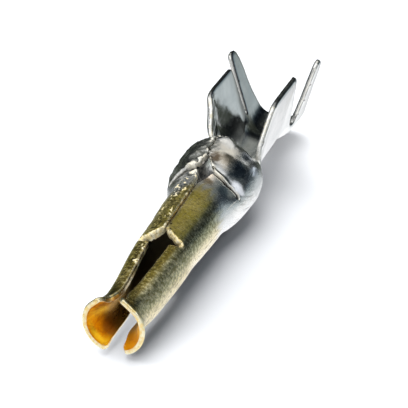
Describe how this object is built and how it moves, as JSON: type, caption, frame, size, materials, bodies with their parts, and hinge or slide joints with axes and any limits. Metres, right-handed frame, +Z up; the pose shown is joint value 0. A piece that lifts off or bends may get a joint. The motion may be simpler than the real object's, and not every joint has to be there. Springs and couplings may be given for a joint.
{
  "type": "crimp socket contact",
  "caption": "Stamped and rolled crimp contact: split spring socket with flared mouth, seamed barrel, retention collar, wire and insulation wings.",
  "frame": {"origin": "bottom centre of the bounding box; the flat under the collar lies on z = 0", "axes": "+Y along the barrel from the mouth to the wings, +Z up through the seam, +X to the right seen from the mouth"},
  "size_m": [0.0034, 0.0152, 0.0032],
  "materials": {
    "plated_brass": "gold flash on the socket end fading to bright tin on the crimp end"
  },
  "bodies": {
    "root": {"contact_body": "plated_brass"}
  },
  "joints": []
}
